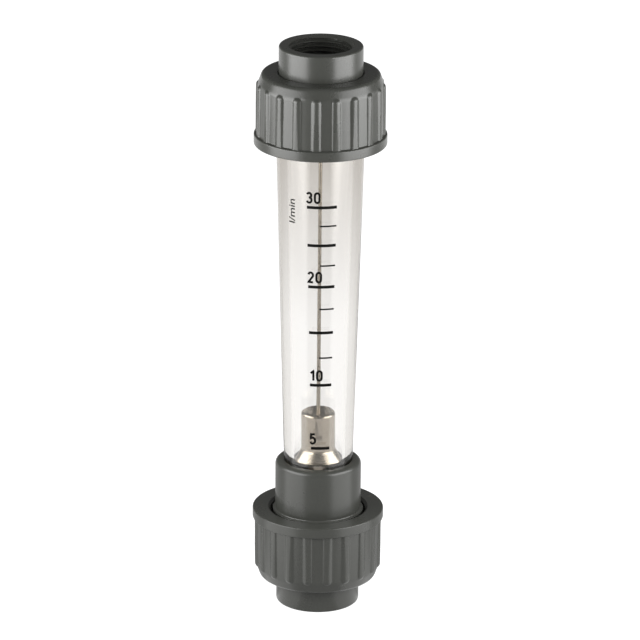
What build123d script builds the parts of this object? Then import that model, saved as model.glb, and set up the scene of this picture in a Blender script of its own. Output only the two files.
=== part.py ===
from build123d import *
import math
import os

# Variable area flow meter with a union connection at each end.
# Sizes are in millimetres. The axis is Z, and the lower pipe connection stands on Z = 0.
# The scale faces -Y.

# Pipe connection, a parallel G 1 female thread drawn as its minor cylinder
PIPE_MINOR_RADIUS = 15.15
PIPE_THREAD_HEIGHT = 1.48
PIPE_THREAD_DEPTH = 19.0
FLOW_BORE_RADIUS = 12.6

# End connector, the same part at both ends
SOCKET_LENGTH = 20.0
SOCKET_EDGE_ROUND = 1.1
FLANGE_STEP = 1.12
FLANGE_THICKNESS = 6.8
FLANGE_EDGE_CHAMFER = 0.4
SEAL_LIP = 1.0
SEAL_WIDTH = 3.2
SEAL_HEIGHT = 2.6
SEAL_CORNER_CHAMFER = 0.9

# Union thread, G 1 1/2, drawn as plain cylinders on each side of its pitch line
UNION_PITCH_RADIUS = 23.16
UNION_THREAD_HEIGHT = 1.48
UNION_THREAD_LENGTH = 17.0
UNION_THREAD_CHAMFER = 0.8
THREAD_CLEARANCE = 0.3
FLANGE_CLEARANCE = 0.2
NECK_CLEARANCE = 0.57
HEAD_CLEARANCE = 0.17

# Union nut, the same part at both ends
NUT_HEIGHT = 36.8
NUT_END_WALL = 6.0
NUT_SLIP_CLEARANCE = 0.35
NUT_END_ROUND = 2.2
NUT_SHOULDER_RADIUS = 31.4
NUT_SHOULDER_HEIGHT = 5.6
NUT_SHOULDER_STEP = 2.0
NUT_SIDE_TAPER = 0.4
COLLAR_STEP = 1.6
COLLAR_HEIGHT = 5.4
COLLAR_EDGE_ROUND = 0.7
MOUTH_STEP = 0.9
MOUTH_DEPTH = 4.0
MOUTH_CHAMFER = 1.2
RIB_COUNT = 20
RIB_WIDTH = 4.6
RIB_HEIGHT = 1.0
RIB_TIP_HEIGHT = 4.9
LOWER_NUT_PHASE = 9.0
UPPER_NUT_PHASE = -3.9

# Tube adaptor between the lower union and the measuring tube
FACE_TO_FACE = 242.4
ADAPTOR_LENGTH = 50.0
NECK_FOOT_LENGTH = 6.2
NECK_WALL = 4.25
NECK_TOP_ROUND = 2.6
TUBE_SOCKET_DEPTH = 20.0
BOND_GAP = 0.1
GUIDE_SHOULDER = 2.4

# Measuring tube, tapered inside and out, with a moulded thread at its wide end
TUBE_WALL = 5.2
TUBE_HEAD_LENGTH = 22.0
GUIDE_SEAT_STEP = 0.8

# Guide rod with its spiders, washers and nuts
ROD_RADIUS = 1.0
ROD_TAIL = 1.0
ROD_HOLE_CLEARANCE = 0.05
GUIDE_THICKNESS = 4.0
GUIDE_FIT_GAP = 0.1
GUIDE_RING_WALL = 2.0
GUIDE_SPOKE_WIDTH = 2.2
GUIDE_SPOKES = 3
GUIDE_HUB_RADIUS = 3.4
WASHER_RADIUS = 2.5
WASHER_THICKNESS = 0.5
ROD_NUT_ACROSS_FLATS = 4.0
ROD_NUT_HEIGHT = 1.6

# Float and the sleeves that stop it
FLOAT_ROD_CLEARANCE = 0.3
FLOAT_FOOT_RADIUS = 4.0
FLOAT_FOOT_HEIGHT = 2.0
FLOAT_CONE_HEIGHT = 10.6
FLOAT_EDGE_LAND = 0.8
FLOAT_FLARE_HEIGHT = 5.2
FLOAT_FLARE_ROUND = 3.0
FLOAT_BODY_RADIUS = 8.5
FLOAT_BODY_HEIGHT = 20.0
FLOAT_TOP_ROUND = 1.7
METERING_GAP = 0.5
STOP_RADIUS = 3.0
STOP_WALL_CLEARANCE = 0.05
LOWER_STOP_LENGTH = 8.0
UPPER_STOP_LENGTH = 16.5

# Printed scale: margins to the tapered part's ends, flows in litres a minute, and the lines
SCALE_LOWER_MARGIN = 11.9
SCALE_UPPER_MARGIN = 29.2
SCALE_CURVE = 3.08
FIRST_FLOW = 5.0
LAST_FLOW = 30.0
FLOW_STEP = 2.5
UNMARKED_FLOW = 7.5
BAR_THICKNESS = 1.5
TICK_THICKNESS = 0.8
FIRST_BAR_LEFT_WIDTH = 3.7
FIRST_BAR_RIGHT_WIDTH = 5.6
LAST_BAR_LEFT_WIDTH = 6.6
LAST_BAR_RIGHT_WIDTH = 8.6
INK_THICKNESS = 0.15
INK_GAP = 0.02

# Heights of the faces that locate the pieces
CONNECTOR_LENGTH = SOCKET_LENGTH + FLANGE_THICKNESS
OVERALL_HEIGHT = FACE_TO_FACE + 2 * CONNECTOR_LENGTH
LOWER_FACE = CONNECTOR_LENGTH
UPPER_FACE = LOWER_FACE + FACE_TO_FACE
ADAPTOR_TOP = LOWER_FACE + ADAPTOR_LENGTH
TUBE_BOTTOM = ADAPTOR_TOP - TUBE_SOCKET_DEPTH
TUBE_HEAD_BOTTOM = UPPER_FACE - TUBE_HEAD_LENGTH
LOWER_GUIDE_BOTTOM = TUBE_BOTTOM - GUIDE_THICKNESS
UPPER_GUIDE_BOTTOM = UPPER_FACE - GUIDE_THICKNESS
FLOAT_BOTTOM = TUBE_BOTTOM + LOWER_STOP_LENGTH
FLOAT_EDGE_HEIGHT = FLOAT_FOOT_HEIGHT + FLOAT_CONE_HEIGHT

# Radii that follow from what has to pass through the union thread, and from the fits
UNION_MINOR_RADIUS = UNION_PITCH_RADIUS - UNION_THREAD_HEIGHT / 2
MALE_THREAD_RADIUS = UNION_PITCH_RADIUS - THREAD_CLEARANCE / 2
FEMALE_THREAD_RADIUS = UNION_PITCH_RADIUS + THREAD_CLEARANCE / 2
FLANGE_RADIUS = UNION_MINOR_RADIUS - FLANGE_CLEARANCE
SOCKET_RADIUS = FLANGE_RADIUS - FLANGE_STEP
SEAL_OUTER_RADIUS = FLANGE_RADIUS - SEAL_LIP
SEAL_INNER_RADIUS = SEAL_OUTER_RADIUS - SEAL_WIDTH
NUT_HOLE_RADIUS = SOCKET_RADIUS + NUT_SLIP_CLEARANCE
NECK_RADIUS = UNION_MINOR_RADIUS - NECK_CLEARANCE
TUBE_SMALL_RADIUS = NECK_RADIUS - NECK_WALL - BOND_GAP
TUBE_LARGE_RADIUS = UNION_MINOR_RADIUS - HEAD_CLEARANCE
TUBE_SLOPE = (TUBE_LARGE_RADIUS - TUBE_SMALL_RADIUS) / (TUBE_HEAD_BOTTOM - ADAPTOR_TOP)


def tube_radius(height):
    """Outer radius of the tapered part of the tube at a height."""
    return TUBE_SMALL_RADIUS + TUBE_SLOPE * (height - ADAPTOR_TOP)


def bore_radius(height):
    """Radius of the tapered bore at a height."""
    return tube_radius(height) - TUBE_WALL


UPPER_BORE_RADIUS = bore_radius(TUBE_HEAD_BOTTOM)
UPPER_SEAT_RADIUS = UPPER_BORE_RADIUS + GUIDE_SEAT_STEP
LOWER_SEAT_RADIUS = FLOW_BORE_RADIUS + GUIDE_SHOULDER
FLOAT_EDGE_RADIUS = bore_radius(FLOAT_BOTTOM + FLOAT_EDGE_HEIGHT) - METERING_GAP


def turned(corners):
    """Solid of revolution about Z from the (radius, height) corners of its half section."""
    outline = Polyline(*[(radius, 0, height) for radius, height in corners], close=True)
    return revolve(make_face(outline), Axis.Z)


def ring(inner_radius, outer_radius, bottom, top):
    """Plain ring or tube between two heights."""
    return turned([(inner_radius, bottom), (outer_radius, bottom), (outer_radius, top), (inner_radius, top)])


def rim(solid, radius, height):
    """Circular edges of a solid at one radius and height."""
    near = 0.01
    circles = solid.edges().filter_by(GeomType.CIRCLE)
    return circles.filter_by(
        lambda edge: abs(edge.radius - radius) < near
        and abs(edge.arc_center.Z - height) < near
    )


def seen_from_above(piece):
    """The same piece turned end for end, for the upper end of the meter."""
    return Pos(0, 0, OVERALL_HEIGHT) * Rot(180, 0, 0) * piece


def end_connector():
    """Threaded pipe socket with the flange that the union nut pulls against the seal."""
    pipe_major_radius = PIPE_MINOR_RADIUS + PIPE_THREAD_HEIGHT
    groove_bottom = CONNECTOR_LENGTH - SEAL_HEIGHT
    solid = turned([
        (pipe_major_radius, 0),
        (SOCKET_RADIUS, 0),
        (SOCKET_RADIUS, SOCKET_LENGTH),
        (FLANGE_RADIUS, SOCKET_LENGTH),
        (FLANGE_RADIUS, CONNECTOR_LENGTH),
        (SEAL_OUTER_RADIUS, CONNECTOR_LENGTH),
        (SEAL_OUTER_RADIUS, groove_bottom),
        (SEAL_INNER_RADIUS, groove_bottom),
        (SEAL_INNER_RADIUS, CONNECTOR_LENGTH),
        (FLOW_BORE_RADIUS, CONNECTOR_LENGTH),
        (FLOW_BORE_RADIUS, PIPE_THREAD_DEPTH),
        (PIPE_MINOR_RADIUS, PIPE_THREAD_DEPTH),
        (PIPE_MINOR_RADIUS, PIPE_THREAD_HEIGHT),
    ])
    solid = fillet(rim(solid, SOCKET_RADIUS, 0), SOCKET_EDGE_ROUND)
    return chamfer(rim(solid, FLANGE_RADIUS, CONNECTOR_LENGTH), FLANGE_EDGE_CHAMFER)


def face_seal():
    """O-ring pressed flat between the floor of its groove and the face that it seals."""
    solid = ring(SEAL_INNER_RADIUS, SEAL_OUTER_RADIUS, CONNECTOR_LENGTH - SEAL_HEIGHT, CONNECTOR_LENGTH)
    return chamfer(solid.edges().filter_by(GeomType.CIRCLE), SEAL_CORNER_CHAMFER)


def nut_side_radius(height):
    """Radius of the slightly tapered nut wall between its ribs, from the closed end up."""
    side_height = NUT_HEIGHT - COLLAR_HEIGHT - NUT_SHOULDER_HEIGHT
    return NUT_SHOULDER_RADIUS + NUT_SIDE_TAPER * (height - NUT_SHOULDER_HEIGHT) / side_height


def nut_rib():
    """One grip rib: a bar with a low round back and a round tip, half sunk in the nut wall."""
    half = RIB_WIDTH / 2
    back_radius = (half ** 2 + RIB_HEIGHT ** 2) / (2 * RIB_HEIGHT)
    depth = back_radius - RIB_HEIGHT
    bottom = RIB_TIP_HEIGHT + half
    top = NUT_HEIGHT - COLLAR_HEIGHT / 2
    start = Vector(nut_side_radius(bottom) - depth, 0, bottom)
    end = Vector(nut_side_radius(top) - depth, 0, top)
    bar = Solid.make_cylinder(back_radius, (end - start).length, Plane(start, z_dir=end - start))
    return bar + Pos(start) * Sphere(back_radius)


def union_nut(phase):
    """Ribbed union nut, closed end down, with a rib at the phase angle from the front."""
    end_radius = NUT_SHOULDER_RADIUS - NUT_SHOULDER_STEP
    collar_bottom = NUT_HEIGHT - COLLAR_HEIGHT
    collar_radius = nut_side_radius(collar_bottom) + COLLAR_STEP
    mouth_radius = FEMALE_THREAD_RADIUS + MOUTH_STEP
    mouth_bottom = NUT_HEIGHT - MOUTH_DEPTH
    solid = turned([
        (NUT_HOLE_RADIUS, 0),
        (end_radius, 0),
        (NUT_SHOULDER_RADIUS, NUT_SHOULDER_HEIGHT),
        (nut_side_radius(collar_bottom), collar_bottom),
        (collar_radius, collar_bottom),
        (collar_radius, NUT_HEIGHT),
        (mouth_radius + MOUTH_CHAMFER, NUT_HEIGHT),
        (mouth_radius, NUT_HEIGHT - MOUTH_CHAMFER),
        (mouth_radius, mouth_bottom),
        (FEMALE_THREAD_RADIUS, mouth_bottom - MOUTH_STEP),
        (FEMALE_THREAD_RADIUS, NUT_END_WALL),
        (NUT_HOLE_RADIUS, NUT_END_WALL),
    ])
    solid = fillet(rim(solid, end_radius, 0), NUT_END_ROUND)
    solid = fillet(rim(solid, collar_radius, NUT_HEIGHT), COLLAR_EDGE_ROUND)
    solid = fillet(rim(solid, collar_radius, collar_bottom), COLLAR_EDGE_ROUND)
    rib = nut_rib()
    solid += [Rot(0, 0, phase - 90 + 360 * index / RIB_COUNT) * rib for index in range(RIB_COUNT)]
    return Pos(0, 0, SOCKET_LENGTH - NUT_END_WALL) * solid


def lower_tube_adaptor():
    """Threaded adaptor with the smooth neck that the tube is bonded into."""
    thread_top = LOWER_FACE + UNION_THREAD_LENGTH
    foot_top = thread_top + NECK_FOOT_LENGTH
    neck_bottom = foot_top + MALE_THREAD_RADIUS - NECK_RADIUS
    socket_radius = TUBE_SMALL_RADIUS + BOND_GAP
    solid = turned([
        (FLOW_BORE_RADIUS, LOWER_FACE),
        (MALE_THREAD_RADIUS - UNION_THREAD_CHAMFER, LOWER_FACE),
        (MALE_THREAD_RADIUS, LOWER_FACE + UNION_THREAD_CHAMFER),
        (MALE_THREAD_RADIUS, foot_top),
        (NECK_RADIUS, neck_bottom),
        (NECK_RADIUS, ADAPTOR_TOP),
        (socket_radius, ADAPTOR_TOP),
        (socket_radius, TUBE_BOTTOM),
        (LOWER_SEAT_RADIUS, TUBE_BOTTOM),
        (LOWER_SEAT_RADIUS, LOWER_GUIDE_BOTTOM),
        (FLOW_BORE_RADIUS, LOWER_GUIDE_BOTTOM),
    ])
    return fillet(rim(solid, NECK_RADIUS, ADAPTOR_TOP), NECK_TOP_ROUND)


def measuring_tube():
    """Clear tapered tube: a spigot below, the taper, and the threaded head above."""
    thread_bottom = UPPER_FACE - UNION_THREAD_LENGTH
    neck_top = thread_bottom - (MALE_THREAD_RADIUS - TUBE_LARGE_RADIUS)
    return turned([
        (bore_radius(TUBE_BOTTOM), TUBE_BOTTOM),
        (TUBE_SMALL_RADIUS, TUBE_BOTTOM),
        (TUBE_SMALL_RADIUS, ADAPTOR_TOP),
        (TUBE_LARGE_RADIUS, TUBE_HEAD_BOTTOM),
        (TUBE_LARGE_RADIUS, neck_top),
        (MALE_THREAD_RADIUS, thread_bottom),
        (MALE_THREAD_RADIUS, UPPER_FACE - UNION_THREAD_CHAMFER),
        (MALE_THREAD_RADIUS - UNION_THREAD_CHAMFER, UPPER_FACE),
        (UPPER_SEAT_RADIUS, UPPER_FACE),
        (UPPER_SEAT_RADIUS, UPPER_GUIDE_BOTTOM),
        (UPPER_BORE_RADIUS, UPPER_GUIDE_BOTTOM),
        (UPPER_BORE_RADIUS, TUBE_HEAD_BOTTOM),
    ])


def rod_guide(seat_radius, bottom):
    """Spider: an outer ring, three spokes and a hub that holds the guide rod on the axis."""
    outer_radius = seat_radius - GUIDE_FIT_GAP
    inner_radius = outer_radius - GUIDE_RING_WALL
    top = bottom + GUIDE_THICKNESS
    hole_radius = ROD_RADIUS + ROD_HOLE_CLEARANCE
    reach = (inner_radius + outer_radius) / 2
    spoke = Pos(reach / 2, 0, bottom + GUIDE_THICKNESS / 2) * Box(reach, GUIDE_SPOKE_WIDTH, GUIDE_THICKNESS)
    spokes = [Rot(0, 0, 360 * index / GUIDE_SPOKES + 90) * spoke for index in range(GUIDE_SPOKES)]
    solid = ring(inner_radius, outer_radius, bottom, top) + spokes
    solid += Pos(0, 0, bottom + GUIDE_THICKNESS / 2) * Cylinder(GUIDE_HUB_RADIUS, GUIDE_THICKNESS)
    return solid - Pos(0, 0, bottom + GUIDE_THICKNESS / 2) * Cylinder(hole_radius, 2 * GUIDE_THICKNESS)


def guide_rod():
    """Thin rod on the axis that keeps the float centred."""
    end_stack = WASHER_THICKNESS + ROD_NUT_HEIGHT + ROD_TAIL
    bottom = LOWER_GUIDE_BOTTOM - end_stack
    top = UPPER_FACE + end_stack
    return Pos(0, 0, (bottom + top) / 2) * Cylinder(ROD_RADIUS, top - bottom)


def rod_washer(bottom):
    """Plain washer between a spider's hub and the rod nut."""
    return ring(ROD_RADIUS + ROD_HOLE_CLEARANCE, WASHER_RADIUS, bottom, bottom + WASHER_THICKNESS)


def rod_nut(bottom):
    """Hexagon nut on the end of the guide rod."""
    centre = Pos(0, 0, bottom + ROD_NUT_HEIGHT / 2)
    corner_radius = ROD_NUT_ACROSS_FLATS / math.sqrt(3)
    hexagon = extrude(RegularPolygon(corner_radius, 6), amount=ROD_NUT_HEIGHT / 2, both=True)
    bore = Cylinder(ROD_RADIUS + ROD_HOLE_CLEARANCE, 2 * ROD_NUT_HEIGHT)
    return centre * (hexagon - bore)


def float_stop(bottom, length):
    """Sleeve on the rod that ends the float's travel."""
    return ring(ROD_RADIUS + STOP_WALL_CLEARANCE, STOP_RADIUS, bottom, bottom + length)


def meter_float():
    """Turned float: foot and cone below, the metering edge, a flare and a plain body above."""
    hole_radius = ROD_RADIUS + FLOAT_ROD_CLEARANCE
    edge_height = FLOAT_EDGE_HEIGHT
    flare_top = edge_height + FLOAT_EDGE_LAND + FLOAT_FLARE_HEIGHT
    top = flare_top + FLOAT_BODY_HEIGHT
    solid = turned([
        (hole_radius, 0),
        (FLOAT_FOOT_RADIUS, 0),
        (FLOAT_FOOT_RADIUS, FLOAT_FOOT_HEIGHT),
        (FLOAT_EDGE_RADIUS, edge_height),
        (FLOAT_EDGE_RADIUS, edge_height + FLOAT_EDGE_LAND),
        (FLOAT_BODY_RADIUS, flare_top),
        (FLOAT_BODY_RADIUS, top),
        (hole_radius, top),
    ])
    solid = fillet(rim(solid, FLOAT_BODY_RADIUS, flare_top), FLOAT_FLARE_ROUND)
    solid = fillet(rim(solid, FLOAT_BODY_RADIUS, top), FLOAT_TOP_ROUND)
    return Pos(0, 0, FLOAT_BOTTOM) * solid


def scale_fraction(flow):
    """How far up the scale a flow's mark stands: the taper opens the gap faster near the top."""
    share = (flow - FIRST_FLOW) / (LAST_FLOW - FIRST_FLOW)
    return (math.sqrt(1 + SCALE_CURVE * share) - 1) / (math.sqrt(1 + SCALE_CURVE) - 1)


def scale_mark(flow, is_bar):
    """One printed line on the front of the tube, a long bar or a short tick."""
    first_mark = ADAPTOR_TOP + SCALE_LOWER_MARGIN
    last_mark = TUBE_HEAD_BOTTOM - SCALE_UPPER_MARGIN
    fraction = scale_fraction(flow)
    centre = first_mark + fraction * (last_mark - first_mark)
    half = (BAR_THICKNESS if is_bar else TICK_THICKNESS) / 2
    low = tube_radius(centre - half) + INK_GAP
    high = tube_radius(centre + half) + INK_GAP
    section = make_face(Polyline(
        (low, 0, centre - half),
        (low + INK_THICKNESS, 0, centre - half),
        (high + INK_THICKNESS, 0, centre + half),
        (high, 0, centre + half),
        close=True,
    ))
    left_width = FIRST_BAR_LEFT_WIDTH + fraction * (LAST_BAR_LEFT_WIDTH - FIRST_BAR_LEFT_WIDTH)
    right_width = FIRST_BAR_RIGHT_WIDTH + fraction * (LAST_BAR_RIGHT_WIDTH - FIRST_BAR_RIGHT_WIDTH)
    left = math.degrees(left_width / low) if is_bar else 0
    right = math.degrees(right_width / low)
    return Rot(0, 0, -90 - left) * revolve(section, Axis.Z, revolution_arc=left + right)


def scale_marks():
    """All printed lines of the scale: a bar at each numbered step and a tick between most."""
    steps = round((LAST_FLOW - FIRST_FLOW) / FLOW_STEP)
    flows = [FIRST_FLOW + FLOW_STEP * step for step in range(steps + 1)]
    return Compound(children=[
        scale_mark(flow, is_bar=index % 2 == 0)
        for index, flow in enumerate(flows)
        if flow != UNMARKED_FLOW
    ])


def main():
    """Build every piece at its place and write one STEP file for each."""
    connector = end_connector()
    seal = face_seal()
    pieces = {
        "lower_end_connector": connector,
        "lower_face_seal": seal,
        "lower_union_nut": union_nut(LOWER_NUT_PHASE),
        "lower_tube_adaptor": lower_tube_adaptor(),
        "lower_rod_guide": rod_guide(LOWER_SEAT_RADIUS, LOWER_GUIDE_BOTTOM),
        "lower_rod_washer": rod_washer(LOWER_GUIDE_BOTTOM - WASHER_THICKNESS),
        "lower_rod_nut": rod_nut(LOWER_GUIDE_BOTTOM - WASHER_THICKNESS - ROD_NUT_HEIGHT),
        "lower_float_stop": float_stop(TUBE_BOTTOM, LOWER_STOP_LENGTH),
        "measuring_tube": measuring_tube(),
        "scale_marks": scale_marks(),
        "guide_rod": guide_rod(),
        "float": meter_float(),
        "upper_float_stop": float_stop(UPPER_GUIDE_BOTTOM - UPPER_STOP_LENGTH, UPPER_STOP_LENGTH),
        "upper_rod_guide": rod_guide(UPPER_SEAT_RADIUS, UPPER_GUIDE_BOTTOM),
        "upper_rod_washer": rod_washer(UPPER_FACE),
        "upper_rod_nut": rod_nut(UPPER_FACE + WASHER_THICKNESS),
        "upper_face_seal": seen_from_above(seal),
        "upper_end_connector": seen_from_above(connector),
        "upper_union_nut": seen_from_above(union_nut(180 - UPPER_NUT_PHASE)),
    }
    os.makedirs("parts", exist_ok=True)
    for name, piece in pieces.items():
        export_step(piece, f"parts/{name}.step")


main()
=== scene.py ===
import math

import bmesh
import bpy
from bpy.props import FloatProperty, FloatVectorProperty, IntProperty, PointerProperty
from bpy.types import Operator, Panel, PropertyGroup
from mathutils import Matrix, Vector


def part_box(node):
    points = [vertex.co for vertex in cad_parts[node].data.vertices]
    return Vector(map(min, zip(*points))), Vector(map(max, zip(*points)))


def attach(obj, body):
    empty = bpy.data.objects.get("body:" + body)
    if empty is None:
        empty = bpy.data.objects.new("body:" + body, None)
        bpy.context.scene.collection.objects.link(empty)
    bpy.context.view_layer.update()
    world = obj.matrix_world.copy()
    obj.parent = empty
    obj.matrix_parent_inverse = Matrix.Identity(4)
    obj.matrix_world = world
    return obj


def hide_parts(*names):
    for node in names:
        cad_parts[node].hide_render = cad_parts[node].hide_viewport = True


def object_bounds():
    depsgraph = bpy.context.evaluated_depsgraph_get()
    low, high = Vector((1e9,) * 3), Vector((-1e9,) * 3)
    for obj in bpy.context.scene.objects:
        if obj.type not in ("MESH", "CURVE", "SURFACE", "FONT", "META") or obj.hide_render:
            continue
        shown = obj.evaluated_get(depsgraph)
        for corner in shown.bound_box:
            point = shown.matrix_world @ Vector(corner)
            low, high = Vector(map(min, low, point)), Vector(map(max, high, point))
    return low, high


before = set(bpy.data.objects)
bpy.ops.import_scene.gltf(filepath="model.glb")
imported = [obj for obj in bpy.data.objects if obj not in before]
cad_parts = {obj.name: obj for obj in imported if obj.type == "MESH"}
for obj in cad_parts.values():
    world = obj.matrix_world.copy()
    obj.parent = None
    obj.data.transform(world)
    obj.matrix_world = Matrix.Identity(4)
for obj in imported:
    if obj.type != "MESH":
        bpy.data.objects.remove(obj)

bl_info = {
    "name": "Flow Meter",
    "version": (1, 0, 0),
    "blender": (4, 5, 0),
    "location": "3D View > Sidebar > Flow Meter",
    "description": "Dresses a variable area flow meter with its threads, ribs, scale and finishes",
    "category": "Object",
}

CAD_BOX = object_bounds()
TOTAL_HEIGHT = CAD_BOX[1].z
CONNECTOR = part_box("lower_end_connector")
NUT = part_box("lower_union_nut")
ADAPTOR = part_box("lower_tube_adaptor")
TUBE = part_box("measuring_tube")

# Columns of faces round the axis, rows in one turn of a thread, steps in the round of an edge
TURNED_COLUMNS = 144
TUBE_COLUMNS = 192
THREAD_ROWS = 10
ARC_STEPS = 5
# Height of the rows of faces on the nut's wall: round the ribs' tips and a margin above, and
# elsewhere
TIP_ROW = 0.0003
TIP_MARGIN = 0.0005
WALL_ROW = 0.004
# Ribs end above this height over the nut's end face, which stays round
RIB_FLOOR = 0.002
# Longest piece of printed ink, so that it follows the tube
INK_STEP = 0.0005
# Two points nearer than this are one vertex
MERGE_DISTANCE = 1e-8
# A thread's row that comes this near to the end of its wall is put on that end
SNAP_DISTANCE = 2e-6
# Edges that turn by more than this stay sharp
CREASE = math.radians(33)
# Round of an edge that is sharp to the eye
FINE_ROUND = 0.0003


# Settings

def length(name, description, default):
    """A size in metres that the sidebar shows as a length."""
    return FloatProperty(
        name=name, description=description, default=default, min=0.0, unit="LENGTH")


def angle(name, description, degrees):
    """An angle that the sidebar shows in degrees."""
    return FloatProperty(
        name=name, description=description, default=math.radians(degrees), subtype="ANGLE")


def linear(hex_colour):
    """Linear red, green and blue of an sRGB hex colour."""
    shares = [int(hex_colour[i:i + 2], 16) / 255 for i in (1, 3, 5)]
    return tuple(s / 12.92 if s <= 0.04045 else ((s + 0.055) / 1.055) ** 2.4 for s in shares)


def colour(name, description, hex_colour):
    """A colour that the sidebar shows as a swatch."""
    return FloatVectorProperty(
        name=name, description=description, default=linear(hex_colour), subtype="COLOR",
        min=0.0, max=1.0)


class UnionSettings(PropertyGroup):
    """The threads, the socket and the flange, which both ends share."""
    thread_pitch: length("Thread pitch", "Rise of the threads in one turn", 0.002309)
    thread_depth: length("Thread depth", "Height of a thread from root to crest", 0.00148)
    thread_chamfer: length("Thread chamfer", "Chamfer at the end of a union thread", 0.0009)
    union_middle: length("Union thread radius", "Pitch radius of the union thread", 0.02316)
    union_clearance: length("Thread clearance", "Gap that each union thread leaves", 0.00012)
    pipe_crest: length("Pipe thread crest", "Radius inside the pipe thread's crests", 0.01515)
    pipe_depth: length("Pipe thread depth", "Depth of the pipe thread in the socket", 0.019)
    flow_bore: length("Flow bore", "Radius of the passage through a connector", 0.0126)
    flange_radius: length("Flange radius", "Outer radius of a flange", CONNECTOR[1].x)
    flange_round: length("Flange round", "Round on the flange's end face", 0.0004)
    socket_radius: length("Socket radius", "Outer radius of a pipe socket", 0.0211)
    socket_length: length("Socket length", "Height of a pipe socket up to its flange", 0.020)
    edge_round: length("Edge round", "Round on the socket's outer edge", 0.0011)
    seal_outside: length("Seal groove outside", "Outer radius of the seal's groove", 0.02122)
    seal_width: length("Seal groove width", "Width of the seal's groove", 0.0032)
    seal_depth: length("Seal groove depth", "Depth of the seal's groove", 0.0026)


class NutSettings(PropertyGroup):
    """The ribbed union nut, which is used at both ends."""
    end_wall: length("End wall", "Thickness of the nut's end wall", 0.006)
    hole_radius: length("Hole radius", "Radius of the hole for the socket", 0.02145)
    hole_round: length("Hole round", "Round on the hole's edge", 0.0005)
    shoulder_radius: length("Shoulder radius", "Radius of the wall at the shoulder", 0.0314)
    shoulder_height: length("Shoulder height", "Height of the sloping shoulder", 0.0056)
    shoulder_step: length("Shoulder step", "How far the shoulder slopes in", 0.002)
    shoulder_round: length("Shoulder round", "Round between shoulder and wall", 0.006)
    end_round: length("End round", "Round between shoulder and end face", 0.0022)
    wall_top_radius: length("Wall top radius", "Radius of the wall under the collar", 0.0318)
    collar_height: length("Collar height", "Height of the collar round the mouth", 0.0054)
    collar_round: length("Collar round", "Round on the collar's edges", 0.0007)
    collar_fillet: length("Collar fillet", "Hollow round under the collar", 0.0005)
    mouth_radius: length("Mouth radius", "Radius of the plain mouth above the thread", 0.02421)
    mouth_depth: length("Mouth depth", "Depth of the plain mouth", 0.004)
    mouth_chamfer: length("Mouth chamfer", "Chamfer at the mouth's edge", 0.0012)
    rib_count: IntProperty(name="Ribs", description="Number of grip ribs", default=20, min=3)
    rib_width: length("Rib width", "Width of a rib", 0.0046)
    rib_height: length("Rib height", "Height of a rib above the wall", 0.001)
    rib_tip: length("Rib tip", "Height of the rib's round tip above the end face", 0.0049)
    rib_root: length("Rib root", "Hollow round at a rib's foot", 0.00012)
    rib_inset: length("Rib inset", "How far the ribs stay inside the collar's edge", 0.0009)
    lower_phase: angle("Lower phase", "Angle from the front to the lower nut's first rib", 9.0)
    upper_phase: angle("Upper phase", "Angle from the front to the upper nut's first rib", -3.9)


class TubeSettings(PropertyGroup):
    """The adaptor's neck and the tapered tube."""
    neck_radius: length("Neck radius", "Outer radius of the adaptor's neck", 0.02185)
    neck_round: length("Neck round", "Round on the neck's upper edge", 0.0026)
    foot_length: length("Foot length", "Height of the neck's wider foot", 0.00635)
    foot_edge: length("Foot edge", "Round on the foot's edge", 0.0002)
    foot_round: length("Foot round", "Hollow round between foot and neck", 0.0008)
    thread_length: length("Thread length", "Length of a male union thread", 0.017)
    tube_small: length("Lower radius", "Outer radius of the tube above the neck", 0.0175)
    tube_large: length("Upper radius", "Outer radius of the tube under its head", 0.02225)
    bond_gap: length("Bond gap", "Gap between the tube and the neck, for the bond", 0.0001)
    wall: length("Tube wall", "Thickness of the tube's wall", 0.0052)
    head_length: length("Head length", "Length of the tube's straight head", 0.022)
    seat_step: length("Guide seat", "How much wider the guide's seat is than the bore", 0.0008)
    guide_height: length("Guide height", "Height of a rod guide", 0.004)
    lower_seat: length("Lower seat", "Radius of the lower guide's seat", 0.015)


class ScaleSettings(PropertyGroup):
    """The numerals and the unit that are printed beside the scale's bars."""
    digit_height: length("Digit height", "Height of a numeral", 0.0062)
    digit_width: length("Digit width", "Width of one numeral", 0.0034)
    digit_gap: length("Digit gap", "Gap between two numerals", 0.0006)
    digit_rise: length("Digit rise", "Height of a numeral's foot above its bar", 0.0020)
    stroke: length("Stroke", "Thickness of a numeral's strokes", 0.0011)
    bar_thickness: length("Bar thickness", "Thickness of the scale's bars", 0.0015)
    scale_bend: FloatProperty(
        name="Scale bend", description="How much the steps of the scale shorten upwards",
        default=3.08, min=0.01)
    unit_length: length("Unit length", "Length of the unit, which reads upwards", 0.0125)
    unit_height: length("Unit height", "Height of the unit's letters", 0.0038)
    unit_left: length("Unit to the left", "From the scale's middle to the unit's foot", 0.0132)
    unit_foot: length("Unit foot", "Height at which the unit starts", 0.2085)
    ink_gap: length("Ink gap", "Gap between the ink and the tube", 0.00002)
    ink_thickness: length("Ink thickness", "Thickness of the ink", 0.00012)


class FinishSettings(PropertyGroup):
    """The colours of the materials."""
    plastic: colour("Grey plastic", "Colour of the moulded grey plastic", "#41423e")
    clear: colour("Clear plastic", "Tint of the light that passes through it", "#ebe7e0")
    steel: colour("Steel", "Reflected colour of the turned stainless steel", "#aca498")
    rod: colour("Guide rod", "Reflected colour of the drawn stainless steel", "#9a9388")
    guide: colour("Guide plastic", "Colour of the rod guides", "#e2dfd6")
    rubber: colour("Rubber", "Colour of the seals", "#1c1c1c")
    ink: colour("Ink", "Colour of the printed scale", "#080807")


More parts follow.
